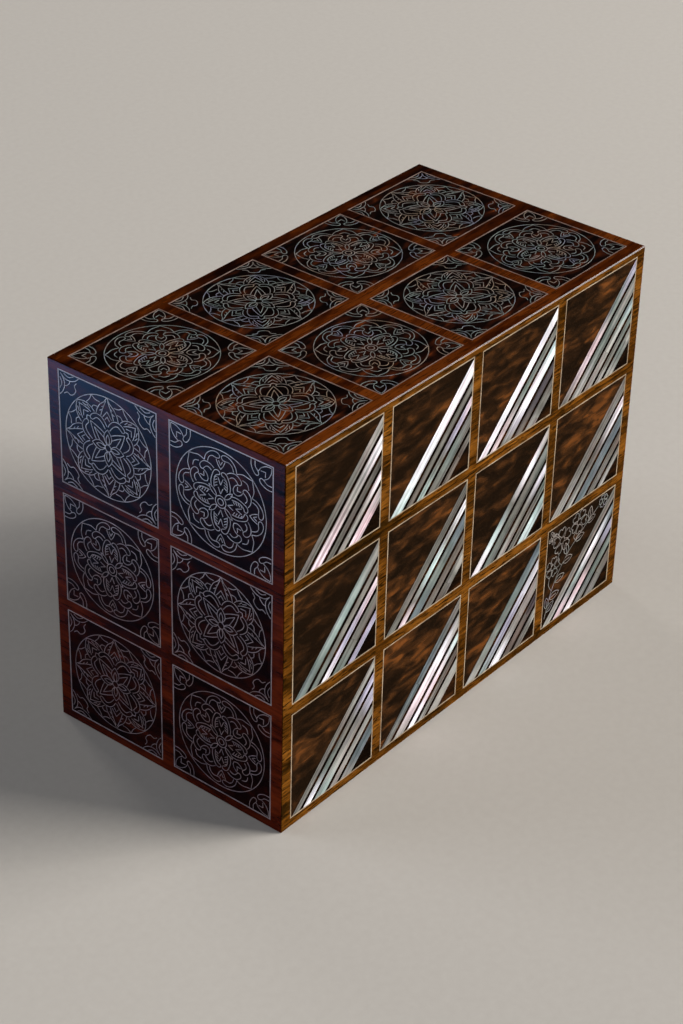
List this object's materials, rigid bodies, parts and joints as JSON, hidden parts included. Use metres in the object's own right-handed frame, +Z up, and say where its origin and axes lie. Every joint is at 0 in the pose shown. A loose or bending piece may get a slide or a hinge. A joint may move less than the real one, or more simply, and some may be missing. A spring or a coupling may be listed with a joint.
{
  "type": "keepsake box",
  "caption": "Small lidded keepsake box of mitred hardwood boards, with square dark wood panels inlaid with mother-of-pearl strips and fine line medallions. The lid lifts off.",
  "frame": {"origin": "middle of the underside, on the surface that the box stands on", "axes": "+X along the length, to the right as seen from the front; +Y across the depth, towards the back; +Z up"},
  "size_m": [0.16, 0.0826, 0.1175],
  "materials": {
    "board_wood": "lacquered figured rosewood",
    "panel_wood": "lacquered near-black figured wood",
    "string_line": "lacquered pale wood",
    "shell": "polished mother-of-pearl"
  },
  "bodies": {
    "root": {"body_floor": "board_wood", "lid_top": "board_wood", "body_front": "board_wood", "lid_front": "board_wood", "body_right": "board_wood", "lid_right": "board_wood", "body_back": "board_wood", "lid_back": "board_wood", "body_left": "board_wood", "lid_left": "board_wood", "panel_top_row1_1": "panel_wood", "panel_top_row1_2": "panel_wood", "panel_top_row1_3": "panel_wood", "panel_top_row1_4": "panel_wood", "panel_top_row2_1": "panel_wood", "panel_top_row2_2": "panel_wood", "panel_top_row2_3": "panel_wood", "panel_top_row2_4": "panel_wood", "panel_front_row1_1": "panel_wood", "panel_front_row1_2": "panel_wood", "panel_front_row1_3": "panel_wood", "panel_front_row1_4": "panel_wood", "panel_front_row2_1": "panel_wood", "panel_front_row2_2": "panel_wood", "panel_front_row2_3": "panel_wood", "panel_front_row2_4": "panel_wood", "panel_front_row3_1": "panel_wood", "panel_front_row3_2": "panel_wood", "panel_front_row3_3": "panel_wood", "panel_front_row3_4": "panel_wood", "panel_right_row1_1": "panel_wood", "panel_right_row1_2": "panel_wood", "panel_right_row2_1": "panel_wood", "panel_right_row2_2": "panel_wood", "panel_right_row3_1": "panel_wood", "panel_right_row3_2": "panel_wood", "panel_back_row1_1": "panel_wood", "panel_back_row1_2": "panel_wood", "panel_back_row1_3": "panel_wood", "panel_back_row1_4": "panel_wood", "panel_back_row2_1": "panel_wood", "panel_back_row2_2": "panel_wood", "panel_back_row2_3": "panel_wood", "panel_back_row2_4": "panel_wood", "panel_back_row3_1": "panel_wood", "panel_back_row3_2": "panel_wood", "panel_back_row3_3": "panel_wood", "panel_back_row3_4": "panel_wood", "panel_left_row1_1": "panel_wood", "panel_left_row1_2": "panel_wood", "panel_left_row2_1": "panel_wood", "panel_left_row2_2": "panel_wood", "panel_left_row3_1": "panel_wood", "panel_left_row3_2": "panel_wood"}
  },
  "joints": []
}
